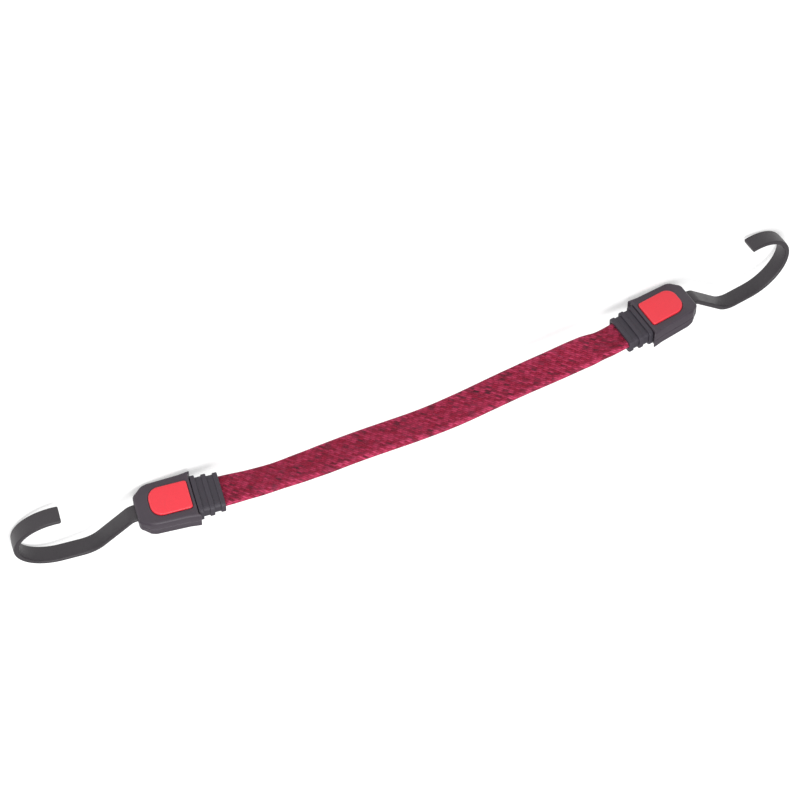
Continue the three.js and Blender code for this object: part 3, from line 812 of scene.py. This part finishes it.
# Hooks. A flat steel bar with rounded edges, bent to a J and dipped in a satin black coating. It leaves the
# nose at a slant, runs level and turns round into an open bowl with a square-cut tip. A tongue with an eye
# stays inside the housing. Straights have a length; bends have a radius, degrees and a number of steps.
bar_width, bar_thickness, bar_round, bar_crown = 9.2, 3.0, 0.8, 0.15
tongue_end = -18.9
hook_steps = (
    ("straight", 19.3), ("bend", 5.0, 47.5, 14), ("straight", 23.75),
    ("bend", 15.0, -47.5, 18), ("straight", 10.5), ("bend", 22.5, -188.0, 80),
)
cut_end = ((0.0, 0.5), (0.25, 0.15), (0.5, 0.0))


def hook_line(straight_step=2.5):
    """Places along the middle of the bar, with the way that it heads."""
    x, y, heading = tongue_end, 0.0, 0.0
    line = [(x, y, heading)]
    for kind, size, *rest in hook_steps:
        if kind == "straight":
            count = max(2, round(size / straight_step))
            for _ in range(count):
                x, y = x + size / count * math.cos(heading), y + size / count * math.sin(heading)
                line.append((x, y, heading))
            continue
        angle, count = math.radians(rest[0]), rest[1]
        chord = 2 * size * math.sin(abs(angle) / count / 2)
        for _ in range(count):
            heading += angle / count / 2
            x, y = x + chord * math.cos(heading), y + chord * math.sin(heading)
            heading += angle / count / 2
            line.append((x, y, heading))
    return line


def bar_section(shrink, face_points=13, edge_steps=10):
    """The bar's section, thickness by width: crowned faces and rounded edges, drawn in evenly by shrink."""
    half_thickness, half_width = bar_thickness / 2 - shrink, bar_width / 2 - shrink
    radius = bar_round - shrink / 2
    flat = half_width - radius
    reach = half_thickness - bar_crown - radius
    points = []
    for side in (1, -1):
        for z in np.linspace(-flat, flat, face_points):
            points.append((side * (half_thickness - bar_crown * (z / flat) ** 2), side * z))
        for step in range(1, edge_steps):
            turn = math.pi * step / edge_steps
            out = reach * np.sign(edge_steps / 2 - step)
            points.append((side * (out + radius * math.cos(turn)), side * (flat + radius * math.sin(turn))))
    return points


def hook_mesh():
    """The bent bar, with its sharp end edges eased and the rivet's eye cut through the tongue."""
    rings = []
    line = hook_line()
    for i, (x, y, heading) in enumerate(line):
        along = Vector((math.cos(heading), math.sin(heading), 0))
        side = Vector((-math.sin(heading), math.cos(heading), 0))
        stops = [(0.0, 0.0)]
        if i == 0:
            stops = cut_end
        elif i == len(line) - 1:
            stops = [(-shift, shrink) for shift, shrink in reversed(cut_end)]
        for shift, shrink in stops:
            place = Vector((x, y, 0)) + along * shift
            section = bar_section(shrink)
            rings.append([place + side * across + Vector((0, 0, wide)) for across, wide in section])
    eye = post(rivet_radius + fit_gap, -bar_thickness, bar_thickness)
    return combined(loft("hook", rings), [eye], "DIFFERENCE")


hook_coating = drift_material(
    "Hook coating", 0.08, {"Coat Weight": 0.08, "Coat Roughness": 0.3},
    colour=(0.028, 0.023, 0.028, 1), rubbed_colour=(0.06, 0.055, 0.06, 1),
    grain_scale=1400.0, roughness=0.48, rub=0.15, roughness_drift=0.2,
)
both_ends("hook", hook_mesh(), hook_coating, crease=40)


# Rivets and ferrules. A zinc-plated steel rivet goes through both shells and the hook's eye; its tail
# shows at the back. A steel band is crimped on each end of the strap, out of sight inside the housing.
head_top, head_foot, tail_foot, tail_top = -4.8, -3.8, 5.7, 6.4


def rivet_mesh():
    """A low domed head, the shank, and a tail that is pressed flat with a dimple in its middle."""
    head, shank = rivet_head_radius, rivet_radius
    return turned("rivet", (
        (head * 0.05, head_top), (head * 0.7, head_top), (head * 0.92, head_top + 0.2),
        (head, head_top + 0.5), (head, head_foot), (shank, head_foot),
        (shank, tail_foot), (head, tail_foot), (head, tail_foot + 0.15),
        (head * 0.93, tail_top - 0.2), (head * 0.8, tail_top), (head * 0.35, tail_top),
        (head * 0.22, tail_top - 0.25), (head * 0.05, tail_top - 0.3),
    ))


bare_steel = drift_material(
    "Plated steel", 0.03, {"Metallic": 1.0},
    colour=(0.56, 0.57, 0.6, 1), rubbed_colour=(0.75, 0.75, 0.76, 1),
    grain_scale=1800.0, roughness=0.34, rub=0.4, drift=0.2,
)
both_ends("hook_rivet", rivet_mesh(), bare_steel, crease=30)
for letter in end_frames:
    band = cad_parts[f"strap_ferrule_{letter}"]
    band.data.materials.clear()
    band.data.materials.append(bare_steel)


# Camera, table and light. The cord lies on a white table and is seen from the side of the caps and from
# above. The picture is turned so that the cord runs up to the right and the hooks' bowls open upwards.
slant, turn, lean = math.radians(24.3), math.radians(62.8), math.radians(0.45)
toward = Vector((math.sin(slant) * math.cos(turn), -math.sin(turn), math.cos(slant) * math.cos(turn)))
rightward = Vector((-math.cos(slant), 0, math.sin(slant)))
rightward.rotate(Matrix.Rotation(lean, 3, toward))
upward = toward.cross(rightward)
aim, distance = Vector((0.0092, 0.003, 0.0047)), 0.993
camera = bpy.data.objects.new("camera", bpy.data.cameras.new("camera"))
bpy.context.scene.collection.objects.link(camera)
camera.data.sensor_width, camera.data.lens = 36, 82.3
camera.data.clip_start, camera.data.clip_end = 0.05, 20
camera.matrix_world = (
    Matrix.Translation(aim + toward * distance) @ Matrix((rightward, upward, toward)).transposed().to_4x4()
)
bpy.context.scene.camera = camera

table_half_size, table_drop = 4, 0.0002
table_mesh = bpy.data.meshes.new("table")
table_mesh.from_pydata(
    [(x * table_half_size, y * table_half_size, 0) for x, y in ((-1, -1), (1, -1), (1, 1), (-1, 1))],
    [], [(0, 1, 2, 3)],
)
table = bpy.data.objects.new("table", table_mesh)
table.location.z = -table_drop
bpy.context.scene.collection.objects.link(table)

# The table glows a little where it is seen or mirrored, so that it looks white and keeps the shadow.
near_distance, far_distance, near_glow, far_glow = 0.3, 1.0, 0.5, 0.8
white_table, tree, shader = new_material("White table")
set_inputs(shader, {
    "Base Color": (0.62, 0.62, 0.62, 1), "Roughness": 0.9, "Specular IOR Level": 0.0,
    "Emission Color": (1, 1, 1, 1),
})
ray = add(tree, "ShaderNodeLightPath").outputs
seen = sum_of(tree, "MAXIMUM", ray["Is Glossy Ray"], ray["Is Transmission Ray"])
seen = sum_of(tree, "MAXIMUM", ray["Is Camera Ray"], seen)
spot = add(tree, "ShaderNodeTexCoord").outputs["Object"]
from_middle = add(tree, "ShaderNodeVectorMath", {0: spot}, operation="LENGTH").outputs["Value"]
glow = add(tree, "ShaderNodeMapRange", {
    0: from_middle, 1: near_distance, 2: far_distance, 3: near_glow, 4: far_glow,
}, interpolation_type="SMOOTHSTEP").outputs[0]
tree.links.new(sum_of(tree, "MULTIPLY", seen, glow), shader.inputs["Emission Strength"])
table.data.materials.append(white_table)

world = bpy.data.worlds.new("studio")
world.use_nodes = True
set_inputs(world.node_tree.nodes["Background"], {"Color": (1, 1, 1, 1), "Strength": 0.5})
bpy.context.scene.world = world


def soft_lamp(name, place, size, power):
    """A round area lamp that is aimed at the middle of the cord."""
    lamp = bpy.data.objects.new(name, bpy.data.lights.new(name, "AREA"))
    lamp.data.shape, lamp.data.size, lamp.data.energy = "DISK", size, power
    lamp.location = place
    lamp.rotation_euler = (Vector((0, 0, 0)) - Vector(place)).to_track_quat("-Z", "Y").to_euler()
    bpy.context.scene.collection.objects.link(lamp)


soft_lamp("lamp_above", (0.1, -0.12, 1.15), 1.2, 12)
soft_lamp("lamp_front", (0.6, -1.15, 0.6), 1.2, 7)
